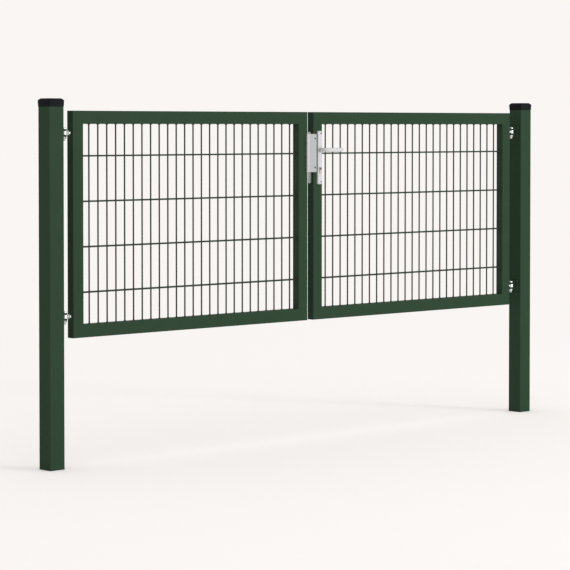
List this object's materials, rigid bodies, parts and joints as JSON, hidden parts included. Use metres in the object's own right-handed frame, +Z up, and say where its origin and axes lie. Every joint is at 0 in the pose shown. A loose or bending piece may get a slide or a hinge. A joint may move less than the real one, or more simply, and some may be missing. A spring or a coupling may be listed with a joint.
{
  "type": "double garden gate",
  "caption": "Low double garden gate: two green framed wire mesh leaves swing on adjustable eye bolt hinges between capped square posts, with a lever lock and stop keep where they meet.",
  "frame": {"origin": "middle of the left post's foot, on the cut end of the tube", "axes": "+X along the closed gate from the left post to the right post, +Y away from the side that carries the keep's stop lip, +Z up"},
  "size_m": [3.132, 0.145, 1.616],
  "materials": {
    "frame_paint": "fir green powder coat, satin",
    "mesh_paint": "fir green powder coat over galvanised wire",
    "cap_plastic": "black moulded, matt",
    "galvanised": "bright galvanised",
    "satin_aluminium": "satin anodised",
    "plated_brass": "nickel plated",
    "plain_steel": "plain"
  },
  "bodies": {
    "posts": {"left_post": "frame_paint", "right_post": "frame_paint", "left_cap": "cap_plastic", "right_cap": "cap_plastic", "left_upper_bracket": "frame_paint", "left_lower_bracket": "frame_paint", "right_upper_bracket": "frame_paint", "right_lower_bracket": "frame_paint", "left_upper_pin": "galvanised", "left_lower_pin": "galvanised", "right_upper_pin": "galvanised", "right_lower_pin": "galvanised"},
    "left_leaf": {"left_hinge_stile": "frame_paint", "left_meeting_stile": "frame_paint", "left_top_rail": "frame_paint", "left_bottom_rail": "frame_paint", "left_mesh": "mesh_paint", "left_upper_eye": "galvanised", "left_lower_eye": "galvanised", "left_upper_nut": "galvanised", "left_lower_nut": "galvanised", "keep": "satin_aluminium"},
    "right_leaf": {"right_hinge_stile": "frame_paint", "right_meeting_stile": "frame_paint", "right_top_rail": "frame_paint", "right_bottom_rail": "frame_paint", "right_mesh": "mesh_paint", "right_upper_eye": "galvanised", "right_lower_eye": "galvanised", "right_upper_nut": "galvanised", "right_lower_nut": "galvanised", "forend": "satin_aluminium", "front_lock_plate": "satin_aluminium", "back_lock_plate": "satin_aluminium", "key_cylinder": "plated_brass"},
    "levers": {"spindle": "plain_steel", "front_lever": "satin_aluminium", "back_lever": "satin_aluminium"}
  },
  "joints": [
    {"name": "left_leaf_swing", "type": "hinge", "parent": "posts", "child": "left_leaf", "pos_m": [0.07, 0, 1.0645], "axis": [0, 0, -1], "range_deg": [0, 90]},
    {"name": "right_leaf_swing", "type": "hinge", "parent": "posts", "child": "right_leaf", "pos_m": [2.976, 0, 1.0645], "axis": [0, 0, -1], "range_deg": [0, 90]},
    {"name": "lever_turn", "type": "hinge", "parent": "right_leaf", "child": "levers", "pos_m": [1.5775, 0, 1.382], "axis": [0, 1, 0], "range_deg": [0, 40], "stiffness_Nm_per_rad": 0.4, "springref_deg": -57.3}
  ]
}
